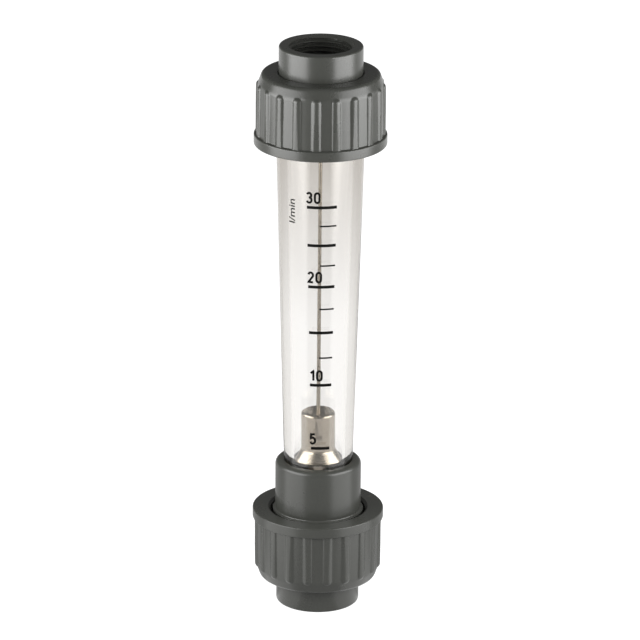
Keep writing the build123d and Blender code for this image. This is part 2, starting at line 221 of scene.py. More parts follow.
class StageSettings(PropertyGroup):
    """The camera and the lamps."""
    distance: length("Camera distance", "From the camera to the meter's middle", 2.6)
    elevation: angle("Camera elevation", "Angle at which the camera looks down", 19.6)
    roll: angle("Camera roll", "Lean of the meter in the picture", 0.42)
    focal_length: FloatProperty(
        name="Focal length", description="Focal length of the camera, in millimetres",
        default=289.5, min=1.0)
    aim_height: length("Aim height", "Height that the camera looks at", 0.1513)
    aim_right: length("Aim to the right", "How far right of the axis the camera looks", 0.0004)
    softbox_power: FloatProperty(
        name="Softbox power", description="Power of each softbox, in watts",
        default=4.7, min=0.0, unit="POWER")
    softbox_angle: angle("Softbox angle", "From the camera's side to each softbox", 65.0)
    softbox_distance: length("Softbox distance", "From a softbox to the axis", 0.46)
    softbox_width: length("Softbox width", "Width of a softbox", 0.51)
    softbox_height: length("Softbox height", "Height of a softbox", 0.56)
    softbox_rise: length("Softbox rise", "Height of a softbox's middle", 0.29)
    softbox_core: length("Softbox core", "Half height of its evenly bright middle", 0.06)


# Shapes

class Skin:
    """Points and faces of a closed surface, in which points that coincide are one vertex."""

    def __init__(self):
        self.number = {}
        self.points = []
        self.faces = []

    def vertex(self, point):
        key = tuple(round(value / MERGE_DISTANCE) for value in point)
        if key not in self.number:
            self.number[key] = len(self.points)
            self.points.append(point)
        return self.number[key]

    def face(self, *points):
        corners = []
        for point in points:
            corner = self.vertex(point)
            if corner not in corners:
                corners.append(corner)
        if len(corners) > 2:
            self.faces.append(corners)

    def band(self, lower, upper):
        """Faces between two rings, the second of which may have half as many points."""
        count = len(lower)
        if len(upper) == count:
            for i in range(count):
                j = (i + 1) % count
                self.face(lower[i], lower[j], upper[j], upper[i])
            return
        for i in range(len(upper)):
            j = (i + 1) % len(upper)
            first, middle, last = lower[2 * i], lower[2 * i + 1], lower[(2 * i + 2) % count]
            self.face(upper[i], first, middle)
            self.face(upper[i], middle, upper[j])
            self.face(upper[j], middle, last)

    def bands(self, rings):
        for lower, upper in zip(rings, rings[1:]):
            self.band(lower, upper)

    def thread(self, bottom, top, pitch, turns, radius_at):
        """Wall whose rows climb with the thread; radius_at gives its radius by angle and height."""
        columns = len(turns)
        rows = THREAD_ROWS * (math.ceil((top - bottom) / pitch) + 2) + 2
        grid = []
        for i, turn in enumerate(turns):
            column = []
            for k in range(rows):
                height = bottom + (k / THREAD_ROWS - 1 + i / columns) * pitch
                if height < bottom + SNAP_DISTANCE:
                    height = bottom
                elif height > top - SNAP_DISTANCE:
                    height = top
                column.append(at(turn, radius_at(turn, height), height))
            grid.append(column)
        for i in range(columns):
            shift = THREAD_ROWS if i == columns - 1 else 0
            after = grid[(i + 1) % columns]
            for k in range(rows - 1 - shift):
                self.face(grid[i][k], after[k + shift], after[k + 1 + shift], grid[i][k + 1])

    def build(self, name, material, body, slot, move=None):
        """The object: outward faces, smooth with sharp creases, riding on a body."""
        mesh = bpy.data.meshes.new(name)
        mesh.from_pydata([move(p) if move else p for p in self.points], [], self.faces)
        shape = bmesh.new()
        shape.from_mesh(mesh)
        bmesh.ops.recalc_face_normals(shape, faces=shape.faces)
        for face in shape.faces:
            face.smooth = True
        for edge in shape.edges:
            edge.smooth = edge.calc_face_angle(0.0) < CREASE
        shape.to_mesh(mesh)
        shape.free()
        return place(bpy.data.objects.new(name, mesh), material, body)


def place(piece, material, body):
    """Links a piece, gives it even shading and its material, and lets it ride on its body."""
    bpy.context.scene.collection.objects.link(piece)
    shading = piece.modifiers.new("even_shading", "WEIGHTED_NORMAL")
    shading.keep_sharp = True
    piece.data.materials.clear()
    piece.data.materials.append(material)
    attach(piece, body)
    return piece


def at(turn, radius, height):
    """The point at an angle round the axis, a radius and a height."""
    return (radius * math.cos(turn), radius * math.sin(turn), height)


def ring(radius, height, turns):
    """Points round the axis at the given angles."""
    return [at(turn, radius, height) for turn in turns]


def even_turns(columns, first=0.0):
    """Equal angles round the axis."""
    return [first + 2 * math.pi * i / columns for i in range(columns)]


def turned(outline, columns):
    """Skin of a (radius, height) outline turned round the axis, and the angles of its columns."""
    skin, turns = Skin(), even_turns(columns)
    skin.bands([ring(radius, height, turns) for radius, height in outline])
    return skin, turns


def rounded(corners):
    """(radius, height) outline; a corner with a third number has a round of that radius. The
    others keep their exact numbers, so that a thread closes on them."""
    outline = []
    for i, corner in enumerate(corners):
        if len(corner) == 2:
            outline.append(corner)
            continue
        point = Vector(corner[:2])
        back = (Vector(corners[i - 1][:2]) - point).normalized()
        ahead = (Vector(corners[(i + 1) % len(corners)][:2]) - point).normalized()
        half = back.angle(ahead) / 2
        centre = point + (back + ahead).normalized() * corner[2] / math.sin(half)
        start = point + back * corner[2] / math.tan(half) - centre
        end = point + ahead * corner[2] / math.tan(half) - centre
        sweep = start.angle_signed(end)
        for step in range(ARC_STEPS + 1):
            turn = Matrix.Rotation(-sweep * step / ARC_STEPS, 2)
            outline.append(tuple(centre + turn @ start))
    return outline


def end_for_end(point):
    """The same point on a piece that is turned over for the upper end of the meter."""
    return (point[0], -point[1], TOTAL_HEIGHT - point[2])


def thread_wave(turns):
    """Whitworth-like form from 1 at a crest to -1 at a root, with round crests and roots."""
    slope = 4 * abs(turns % 1 - 0.5) - 1
    return math.sin(max(-1.0, min(1.0, 1.3 * slope)) * math.pi / 2)


def male_thread(union, middle, foot, bottom, top):
    """Radius of a thread by angle and height; its helix starts at foot, and it fades out over a
    turn at bottom and at top."""
    def radius_at(turn, height):
        wave = thread_wave((height - foot) / union.thread_pitch - turn / (2 * math.pi))
        fade = min(1.0, (height - bottom) / union.thread_pitch, (top - height) / union.thread_pitch)
        return middle + union.thread_depth / 2 * wave * max(0.0, fade)
    return radius_at


def end_connector(union, name, body, material, move=None):
    """Pipe socket with its female thread, and the flange with the seal's groove."""
    crest, root = union.pipe_crest, union.pipe_crest + union.thread_depth
    middle = (crest + root) / 2
    top = CONNECTOR[1].z
    groove = union.seal_outside - union.seal_width
    thread_top = union.pipe_depth - union.thread_depth
    skin, turns = turned(rounded([
        (root, 0.0),
        (union.socket_radius, 0.0, union.edge_round),
        (union.socket_radius, union.socket_length),
        (union.flange_radius, union.socket_length, FINE_ROUND),
        (union.flange_radius, top, union.flange_round),
        (union.seal_outside, top, FINE_ROUND),
        (union.seal_outside, top - union.seal_depth),
        (groove, top - union.seal_depth),
        (groove, top, FINE_ROUND),
        (union.flow_bore, top, FINE_ROUND),
        (union.flow_bore, union.pipe_depth, FINE_ROUND),
        (crest, union.pipe_depth),
        (crest, thread_top),
    ]), TURNED_COLUMNS)

    def radius_at(turn, height):
        wave = thread_wave(height / union.thread_pitch - turn / (2 * math.pi))
        left = (thread_top - height) / union.thread_pitch
        thread = crest + (middle - crest) * (1 + wave) * min(1.0, max(0.0, left))
        return max(thread, root - height)

    skin.thread(0.0, thread_top, union.thread_pitch, turns, radius_at)
    return skin.build(name, material, body, "grey_plastic", move)


def rib_rise(nut, across, along):
    """Height of a rib above the wall, by the distance from its middle line and past its tip's
    centre."""
    half = nut.rib_width / 2
    back = (half ** 2 + nut.rib_height ** 2) / (2 * nut.rib_height)
    arch = math.sqrt(max(0.0, back ** 2 - across ** 2 - max(0.0, along) ** 2))
    rise = arch - back + nut.rib_height
    return (rise + math.hypot(rise, nut.rib_root)) / 2


def rib_columns(nut):
    """Angles of one rib's columns from its middle line, closer together at the rib's sides."""
    step = 2 * math.pi / nut.rib_count
    half_turn = nut.rib_width / 2 / nut.shoulder_radius
    rest = (step / 2 - half_turn) / half_turn
    shares = [0.0, 0.31, 0.57, 0.76, 0.9, 1.0, 1.0 + 0.2 * rest, 1.0 + 0.55 * rest]
    return [-step / 2] + [-s * half_turn for s in shares[:0:-1]] + [s * half_turn for s in shares]


def union_nut(union, nut, phase, name, body, material, move=None):
    """Union nut with its grip ribs outside and its female thread inside, end wall down."""
    height = NUT[1].z - NUT[0].z
    collar = NUT[1].x
    collar_bottom = height - nut.collar_height
    rib_limit = collar - nut.rib_inset
    thread_top = height - nut.mouth_depth - union.thread_chamfer
    middle = union.union_middle + union.union_clearance
    thread_end = middle + union.thread_depth / 2
    mouth = rounded([
        (thread_end, thread_top),
        (nut.mouth_radius, height - nut.mouth_depth),
        (nut.mouth_radius, height - nut.mouth_chamfer),
        (nut.mouth_radius + nut.mouth_chamfer, height, FINE_ROUND),
        (collar, height, nut.collar_round),
        (collar, collar_bottom, nut.collar_round),
        (rib_limit, collar_bottom),
        (nut.wall_top_radius, collar_bottom),
    ])[:-1]
    rise = 2 * nut.shoulder_round
    slope = (nut.wall_top_radius - nut.shoulder_radius) / (collar_bottom - nut.shoulder_height)
    wall = rounded([
        (rib_limit, collar_bottom),
        (nut.wall_top_radius, collar_bottom, nut.collar_fillet),
        (nut.shoulder_radius + slope * rise, nut.shoulder_height + rise),
        (nut.shoulder_radius, nut.shoulder_height, nut.shoulder_round),
        (nut.shoulder_radius - nut.shoulder_step, 0.0, nut.end_round),
        (nut.hole_radius, 0.0),
    ])[1:-1]
    end = rounded([
        (nut.shoulder_radius, 0.0),
        (nut.hole_radius, 0.0, nut.hole_round),
        (nut.hole_radius, nut.end_wall),
        (middle, nut.end_wall),
    ])[1:]
    tip = nut.rib_tip + nut.rib_width / 2
    rows = []
    for (radius, level), (next_radius, next_level) in zip(wall, wall[1:]):
        longest = TIP_ROW if next_level < tip + TIP_MARGIN else WALL_ROW
        pieces = max(1, math.ceil(abs(next_level - level) / longest))
        rows += [(radius + (next_radius - radius) * k / pieces,
                  level + (next_level - level) * k / pieces) for k in range(pieces)]
    rows.append(wall[-1])

    offsets = rib_columns(nut)
    step = 2 * math.pi / nut.rib_count
    front = phase - math.pi / 2
    turns = [front + step * i + offset for i in range(nut.rib_count) for offset in offsets]
    from_rib = [abs(offset) for offset in offsets] * nut.rib_count
    plain = even_turns(len(turns), front - step / 2)
    inner = even_turns(len(turns) // 2, plain[0])

    def ribbed(radius, level):
        if level <= RIB_FLOOR:
            return ring(radius, level, turns)
        rises = [rib_rise(nut, away * nut.shoulder_radius, tip - level) for away in from_rib]
        return [at(turn, min(radius + rise, rib_limit), level)
                for turn, rise in zip(turns, rises)]

    skin = Skin()
    rings = [ring(radius, level, plain) for radius, level in mouth[:-1]]
    rings += [ring(*mouth[-1], turns)]
    rings += [ribbed(radius, level) for radius, level in rows]
    rings += [ring(radius, level, plain) for radius, level in end[:-1]]
    skin.bands(rings)
    skin.band(rings[0], ring(thread_end, thread_top, inner))
    skin.band(rings[-1], ring(*end[-1], inner))

    def radius_at(turn, level):
        wave = thread_wave((level + NUT[0].z) / union.thread_pitch - turn / (2 * math.pi))
        fade = max(0.0, min(1.0, (level - nut.end_wall) / union.thread_pitch))
        thread = middle + union.thread_depth / 2 * wave * fade
        return max(thread, thread_end - (thread_top - level))

    skin.thread(nut.end_wall, thread_top, union.thread_pitch, inner, radius_at)
    skin.points = [(x, y, z + NUT[0].z) for x, y, z in skin.points]
    return skin.build(name, material, body, "grey_plastic", move)


# Materials

def add_node(tree, kind, sockets=None, **settings):
    """Adds a node, sets its properties, and sets or links its sockets by name or number."""
    node = tree.nodes.new(kind)
    for key, value in settings.items():
        setattr(node, key, value)
    for key, value in (sockets or {}).items():
        if isinstance(value, bpy.types.NodeSocket):
            tree.links.new(value, node.inputs[key])
        else:
            node.inputs[key].default_value = value
    return node


def noise(tree, where, scale, detail):
    """Noise of that many waves a metre, from 0 to 1."""
    return add_node(tree, "ShaderNodeTexNoise", {
        "Vector": where, "Scale": scale, "Detail": detail}).outputs["Fac"]


def spread(tree, value, low, high, start=0.0, end=1.0, **settings):
    """The value, with start to end spread over low to high."""
    return add_node(tree, "ShaderNodeMapRange", {
        "Value": value, "From Min": start, "From Max": end, "To Min": low, "To Max": high},
        **settings).outputs[0]


def sums(tree, operation, *values):
    """Result of a Math node."""
    return add_node(
        tree, "ShaderNodeMath", dict(enumerate(values)), operation=operation).outputs[0]


def object_point(tree):
    """The place in the object, in metres."""
    return add_node(tree, "ShaderNodeTexCoord").outputs["Object"]


def principled(tree, sockets):
    """A principled shader as the whole surface."""
    shader = add_node(tree, "ShaderNodeBsdfPrincipled", sockets)
    add_node(tree, "ShaderNodeOutputMaterial", {"Surface": shader.outputs[0]})


def moulded_grey_pvc(tree, finish):
    """Injection moulded rigid PVC: dark grey all through, with a satin skin that shows soft
    bright bands under a softbox, faint clouds in the pigment and the fine grain of the mould."""
    point = object_point(tree)
    # Pigment clouds about 12 mm across
    cloud = noise(tree, point, 80.0, 3.0)
    tone = spread(tree, cloud, 0.93, 1.07)
    pigment = add_node(tree, "ShaderNodeVectorMath", {0: tuple(finish.plastic), 1: tone},
                       operation="MULTIPLY").outputs[0]
    # Mould grain 0.5 mm across, drawn coarser than the real 0.1 mm so that it shows
    grain = noise(tree, point, 2000.0, 2.0)
    bump = add_node(tree, "ShaderNodeBump", {
        "Height": grain, "Strength": 0.12, "Distance": 0.0001}).outputs[0]
    principled(tree, {"Base Color": pigment, "Roughness": spread(tree, cloud, 0.25, 0.31),
                      "IOR": 1.54, "Normal": bump})


def moulded_clear_polysulfone(tree, finish):
    """Injection moulded polysulfone: clear with a faint warm tint that deepens where the wall is
    seen edge on, a polished skin, and long soft waves along the pull of the core."""
    # Waves 6 mm wide and 150 mm long, as the core's polish leaves them
    stretched = add_node(tree, "ShaderNodeMapping", {
        "Vector": object_point(tree), "Scale": (160.0, 160.0, 7.0)}).outputs[0]
    bump = add_node(tree, "ShaderNodeBump", {
        "Height": noise(tree, stretched, 1.0, 1.0), "Strength": 0.3,
        "Distance": 0.0004}).outputs[0]
    shader = add_node(tree, "ShaderNodeBsdfPrincipled", {
        "Base Color": (1.0, 1.0, 1.0, 1.0), "Roughness": 0.03, "IOR": 1.6,
        "Transmission Weight": 1.0, "Normal": bump})
    # Lamp light goes straight through, a little dimmed
    lamp_light = add_node(tree, "ShaderNodeBsdfTransparent", {"Color": (0.85, 0.84, 0.81, 1.0)})
    shadow = add_node(tree, "ShaderNodeLightPath").outputs["Is Shadow Ray"]
    surface = add_node(tree, "ShaderNodeMixShader", {
        0: shadow, 1: shader.outputs[0], 2: lamp_light.outputs[0]})
    absorbed = add_node(tree, "ShaderNodeVolumeAbsorption", {
        "Color": (*finish.clear, 1.0), "Density": 75.0})
    add_node(tree, "ShaderNodeOutputMaterial", {
        "Surface": surface.outputs[0], "Volume": absorbed.outputs[0]})


def turned_stainless(tree, finish):
    """Stainless steel off the lathe: fine rings round the axis that spread the highlights up and
    down, and a slightly uneven polish."""
    point = object_point(tree)
    # Tool marks 0.5 mm apart, drawn coarser than the real 0.1 mm feed so that they show
    marks = add_node(tree, "ShaderNodeTexWave", {
        "Vector": point, "Scale": 640.0, "Distortion": 0.4}, bands_direction="Z").outputs["Fac"]
    bump = add_node(tree, "ShaderNodeBump", {
        "Height": marks, "Strength": 0.25, "Distance": 0.00003}).outputs[0]
    # Patches of polish 3 mm across
    polish = spread(tree, noise(tree, point, 300.0, 3.0), 0.22, 0.30)
    principled(tree, {"Base Color": (*finish.steel, 1.0), "Metallic": 1.0, "Roughness": polish,
                      "Normal": bump})


def drawn_stainless(tree, finish):
    """Cold drawn stainless steel: a smooth bright skin with faint lengthwise streaks."""
    # Streaks 0.25 mm wide and 17 mm long
    stretched = add_node(tree, "ShaderNodeMapping", {
        "Vector": object_point(tree), "Scale": (4000.0, 4000.0, 60.0)}).outputs[0]
    streak = spread(tree, noise(tree, stretched, 1.0, 2.0), 0.14, 0.30)
    principled(tree, {"Base Color": (*finish.rod, 1.0), "Metallic": 1.0, "Roughness": streak})


def moulded_white_ptfe(tree, finish):
    """Moulded fluoropolymer: waxy off-white that lets a little light into its edges."""
    # Clouds 2 mm across in the waxy skin
    wax = spread(tree, noise(tree, object_point(tree), 500.0, 2.0), 0.38, 0.5)
    principled(tree, {"Base Color": (*finish.guide, 1.0), "Roughness": wax, "IOR": 1.38,
                      "Subsurface Weight": 0.2, "Subsurface Scale": 0.001})


def moulded_nitrile(tree, finish):
    """Moulded nitrile rubber: matt black with a slight bloom."""
    # Patches of bloom 1.5 mm across
    bloom = spread(tree, noise(tree, object_point(tree), 700.0, 3.0), 0.5, 0.7)
    principled(tree, {"Base Color": (*finish.rubber, 1.0), "Roughness": bloom, "IOR": 1.52})


def screen_printed_ink(tree, finish):
    """Screen printed ink: black, half matt, with a trace of the screen in its gloss."""
    # Mesh of the screen, 0.3 mm
    screen = spread(tree, noise(tree, object_point(tree), 3300.0, 1.0), 0.52, 0.7)
    principled(tree, {"Base Color": (*finish.ink, 1.0), "Roughness": screen,
                      "Specular IOR Level": 0.1})


def new_material(name):
    """An empty node material and its tree."""
    material = bpy.data.materials.new(name)
    material.use_nodes = True
    material.node_tree.nodes.clear()
    return material, material.node_tree


def made_of(make):
    """The material that a function above describes, made when it is first asked for."""
    found = bpy.data.materials.get(make.__name__)
    if not found:
        found, tree = new_material(make.__name__)
        make(tree, bpy.context.scene.flow_meter_finish)
    return found


def finish_nodes(names, make):
    """Gives CAD nodes that keep their own shape a better material."""
    for name in names:
        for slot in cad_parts[name].material_slots:
            slot.material = made_of(make)


# Pieces

class FLOWMETER_OT_end_connectors(Operator):
    """Builds both pipe sockets with their threads and flanges"""
    bl_idname = "flow_meter.end_connectors"
    bl_label = "End Connectors"

    def execute(self, context):
        union, grey = context.scene.flow_meter_union, made_of(moulded_grey_pvc)
        lower = end_connector(union, "lower_socket_moulding", "lower_connection", grey)
        upper = end_connector(
            union, "upper_socket_moulding", "upper_connection", grey, end_for_end)
        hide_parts("lower_end_connector")
        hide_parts("upper_end_connector")
        return {"FINISHED"}


class FLOWMETER_OT_union_nuts(Operator):
    """Builds both ribbed union nuts with their threads"""
    bl_idname = "flow_meter.union_nuts"
    bl_label = "Union Nuts"

    def execute(self, context):
        union, nut = context.scene.flow_meter_union, context.scene.flow_meter_nut
        grey = made_of(moulded_grey_pvc)
        lower = union_nut(union, nut, nut.lower_phase, "lower_nut_moulding", "lower_nut", grey)
        upper = union_nut(union, nut, math.pi - nut.upper_phase, "upper_nut_moulding",
                          "upper_nut", grey, end_for_end)
        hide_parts("lower_union_nut")
        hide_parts("upper_union_nut")
        return {"FINISHED"}


class FLOWMETER_OT_tube_adaptor(Operator):
    """Builds the adaptor with its male thread and its smooth neck"""
    bl_idname = "flow_meter.tube_adaptor"
    bl_label = "Tube Adaptor"

    def execute(self, context):
        union, tube = context.scene.flow_meter_union, context.scene.flow_meter_tube
        bottom, top = ADAPTOR[0].z, ADAPTOR[1].z
        thread_top = bottom + tube.thread_length
        ledge = thread_top + tube.foot_length
        middle = union.union_middle - union.union_clearance
        nose = middle - union.thread_chamfer
        bond = tube.tube_small + tube.bond_gap
        seat = TUBE[0].z - tube.guide_height
        skin, turns = turned(rounded([
            (middle, thread_top),
            (middle, ledge, tube.foot_edge),
            (tube.neck_radius, ledge, tube.foot_round),
            (tube.neck_radius, top, tube.neck_round),
            (bond, top),
            (bond, TUBE[0].z),
            (tube.lower_seat, TUBE[0].z),
            (tube.lower_seat, seat),
            (union.flow_bore, seat),
            (union.flow_bore, bottom, FINE_ROUND),
            (nose, bottom),
        ]), TURNED_COLUMNS)
        # The chamfer ends the thread at the bottom, so the fade there is put out of reach
        thread = male_thread(union, middle, 0.0, bottom - 1.0, thread_top)
        skin.thread(bottom, thread_top, union.thread_pitch, turns,
                    lambda turn, height: min(thread(turn, height), nose + height - bottom))
        piece = skin.build(
            "adaptor_moulding", made_of(moulded_grey_pvc), "meter_tube", "grey_plastic")
        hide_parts("lower_tube_adaptor")
        return {"FINISHED"}


class FLOWMETER_OT_measuring_tube(Operator):
    """Builds the clear tapered tube with its threaded head"""
    bl_idname = "flow_meter.measuring_tube"
    bl_label = "Measuring Tube"

    def execute(self, context):
        union, tube = context.scene.flow_meter_union, context.scene.flow_meter_tube
        bottom, top = TUBE[0].z, TUBE[1].z
        taper_bottom, taper_top = ADAPTOR[1].z, top - tube.head_length
        slope = (tube.tube_large - tube.tube_small) / (taper_top - taper_bottom)
        thread_bottom = top - tube.thread_length
        middle = union.union_middle - union.union_clearance
        nose = middle - union.thread_chamfer
        bore_bottom = tube.tube_small - slope * (taper_bottom - bottom) - tube.wall
        bore_top = tube.tube_large - tube.wall
        seat = bore_top + tube.seat_step
        skin, turns = turned(rounded([
            (nose, top),
            (seat, top, FINE_ROUND),
            (seat, top - tube.guide_height),
            (bore_top, top - tube.guide_height, FINE_ROUND),
            (bore_top, taper_top),
            (bore_bottom, bottom, FINE_ROUND),
            (tube.tube_small, bottom, FINE_ROUND),
            (tube.tube_small, taper_bottom),
            (tube.tube_large, taper_top),
            (tube.tube_large, thread_bottom - middle + tube.tube_large, FINE_ROUND),
            (middle, thread_bottom),
        ]), TUBE_COLUMNS)
        # The chamfer ends the thread at the top, so the fade there is put out of reach
        thread = male_thread(union, middle, TOTAL_HEIGHT, thread_bottom, top + 1.0)
        skin.thread(thread_bottom, top, union.thread_pitch, turns,
                    lambda turn, height: min(thread(turn, height), nose + top - height))
        piece = skin.build(
            "tube_moulding", made_of(moulded_clear_polysulfone), "meter_tube", "clear_plastic")
        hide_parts("measuring_tube")
        return {"FINISHED"}


def arc(centre, radii, start, end):
    """Points on an ellipse between two angles in degrees, no more than 18 degrees apart."""
    steps = math.ceil(abs(end - start) / 18)
    turns = [math.radians(start + (end - start) * k / steps) for k in range(steps + 1)]
    return [(centre[0] + radii[0] * math.cos(turn), centre[1] + radii[1] * math.sin(turn))
            for turn in turns]


# Middle lines of the numerals' strokes, in a box one wide and one high
STROKES = {
    "0": [arc((0.5, 0.72), (0.5, 0.28), 0, 180) + arc((0.5, 0.28), (0.5, 0.28), 180, 360)
          + [(1.0, 0.72)]],
    "1": [[(0.0, 0.74), (0.9, 1.0), (0.9, 0.0)]],
    "2": [arc((0.5, 0.72), (0.5, 0.28), 165, -20) + [(0.0, 0.0), (1.0, 0.0)]],
    "3": [arc((0.48, 0.76), (0.46, 0.24), 160, -90), arc((0.48, 0.27), (0.52, 0.27), 100, -160)],
    "5": [[(0.95, 1.0), (0.12, 1.0), (0.06, 0.56)] + arc((0.46, 0.32), (0.54, 0.32), 110, -160)],
}
# A one is this much narrower than the other numerals
ONE_WIDTH = 0.76
# Flow at each numbered bar, and where its numeral starts, from the scale's middle
NUMERALS = ((5, -0.0045), (10, -0.0046), (20, -0.0061), (30, -0.0071))
# A corner of a stroke is drawn out to no more than the half width divided by this
MITRE_LIMIT = 0.6


def stroke(skin, line, half, lay):
    """Ink along a line: lay gives the place in space of a flat point, under (0) or on top of (1)
    the ink."""
    closed = line[0] == line[-1]
    points = [line[0]]
    for start, end in zip(line, line[1:]):
        pieces = math.ceil((end - start).length / INK_STEP)
        points += [start.lerp(end, k / pieces) for k in range(1, pieces + 1)]
    last = len(points) - 1
    sections = []
    for i, point in enumerate(points):
        before = points[i - 1] if i else points[-2]
        after = points[i + 1] if i < last else points[1]
        back, ahead = (point - before).normalized(), (after - point).normalized()
        if not closed and i == 0:
            back = ahead
        if not closed and i == last:
            ahead = back
        along = (back + ahead).normalized()
        side = Vector((-along.y, along.x)) * half / max(MITRE_LIMIT, back.dot(along))
        sections.append([lay(point + side, 0), lay(point - side, 0),
                         lay(point - side, 1), lay(point + side, 1)])
    for section, following in zip(sections, sections[1:]):
        for k in range(4):
            j = (k + 1) % 4
            skin.face(section[k], section[j], following[j], following[k])
    if not closed:
        skin.face(*sections[0])
        skin.face(*sections[-1])


def laid_on(surface, left, foot):
    """Function that lays a flat point on the tube, from left of the scale's middle and a height."""
    scale = bpy.context.scene.flow_meter_scale

    def lay(point, level):
        height = foot + point.y
        turn = (left + point.x) / surface(foot) - math.pi / 2
        return at(turn, surface(height) + scale.ink_gap + scale.ink_thickness * level, height)
    return lay


def printed_number(number, left, foot, surface):
    """A number in heavy narrow figures."""
    scale = bpy.context.scene.flow_meter_scale
    skin = Skin()
    half = scale.stroke / 2
    for digit in str(number):
        width = scale.digit_width * (ONE_WIDTH if digit == "1" else 1.0)
        lay = laid_on(surface, left, foot)
        for line in STROKES[digit]:
            flat = [Vector((half + x * (width - 2 * half),
                            half + y * (scale.digit_height - 2 * half))) for x, y in line]
            stroke(skin, flat, half, lay)
        left += width + scale.digit_gap
    skin.build(f"numeral_{number}", made_of(screen_printed_ink), "meter_tube", "black_ink")


def printed_unit(words, size, left, foot, surface):
    """Words that read upwards, in Blender's own plain font, a little bolder."""
    curve = bpy.data.curves.new("unit_text", "FONT")
    curve.body = words
    curve.size = 0.01
    curve.offset = 0.00006
    curve.extrude = 0.001
    flat = bpy.data.objects.new("unit_flat", curve)
    bpy.context.scene.collection.objects.link(flat)
    bpy.context.view_layer.update()
    mesh = bpy.data.meshes.new_from_object(
        flat.evaluated_get(bpy.context.evaluated_depsgraph_get()))
    bpy.data.objects.remove(flat)
    shape = bmesh.new()
    shape.from_mesh(mesh)
    bmesh.ops.remove_doubles(shape, verts=shape.verts, dist=1e-7)
    low = Vector([min(v.co[i] for v in shape.verts) for i in range(3)])
    span = Vector([max(v.co[i] for v in shape.verts) for i in range(3)]) - low
    for v in shape.verts:
        share = Vector([(v.co[i] - low[i]) / span[i] for i in range(3)])
        v.co = Vector((share.x * size[0], share.y * size[1], share.z))
    for axis, extent in ((Vector((1, 0, 0)), size[0]), (Vector((0, 1, 0)), size[1])):
        for k in range(1, math.ceil(extent / INK_STEP)):
            bmesh.ops.bisect_plane(
                shape, geom=shape.verts[:] + shape.edges[:] + shape.faces[:],
                plane_co=axis * INK_STEP * k, plane_no=axis, dist=1e-7)
    lay = laid_on(surface, left, foot)
    for v in shape.verts:
        v.co = Vector(lay(Vector((-v.co.y, v.co.x)), v.co.z))
    bmesh.ops.recalc_face_normals(shape, faces=shape.faces)
    shape.to_mesh(mesh)
    shape.free()
    mesh.name = "unit_text"
    place(bpy.data.objects.new("unit_text", mesh), made_of(screen_printed_ink), "meter_tube")


class FLOWMETER_OT_printed_scale(Operator):
    """Prints the numerals and the unit beside the bars of the scale"""
    bl_idname = "flow_meter.printed_scale"
    bl_label = "Printed Scale"

    def execute(self, context):
        scale, tube = context.scene.flow_meter_scale, context.scene.flow_meter_tube
        low, high = ADAPTOR[1].z, TUBE[1].z - tube.head_length

        def surface(height):
            share = (height - low) / (high - low)
            return tube.tube_small + (tube.tube_large - tube.tube_small) * share

        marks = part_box("scale_marks")
        first = marks[0].z + scale.bar_thickness / 2
        last = marks[1].z - scale.bar_thickness / 2
        least, most = NUMERALS[0][0], NUMERALS[-1][0]
        bend = scale.scale_bend
        for flow, left in NUMERALS:
            share = (flow - least) / (most - least)
            rise = (math.sqrt(1 + bend * share) - 1) / (math.sqrt(1 + bend) - 1)
            foot = first + rise * (last - first) + scale.digit_rise
            printed_number(flow, left, foot, surface)
        printed_unit("l/min", (scale.unit_length, scale.unit_height), -scale.unit_left,
                     scale.unit_foot, surface)
        finish_nodes(["scale_marks"], screen_printed_ink)
        return {"FINISHED"}


class FLOWMETER_OT_inner_parts(Operator):
    """Finishes the float, the guide rod and the parts that hold them"""
    bl_idname = "flow_meter.inner_parts"
    bl_label = "Inner Parts"

    def execute(self, context):
        finish_nodes(["float", "lower_rod_washer", "upper_rod_washer", "lower_rod_nut",
                      "upper_rod_nut"], turned_stainless)
        finish_nodes(["guide_rod"], drawn_stainless)
        finish_nodes(["lower_rod_guide", "upper_rod_guide", "lower_float_stop",
                      "upper_float_stop"], moulded_white_ptfe)
        finish_nodes(["lower_face_seal", "upper_face_seal"], moulded_nitrile)
        return {"FINISHED"}


# Stage

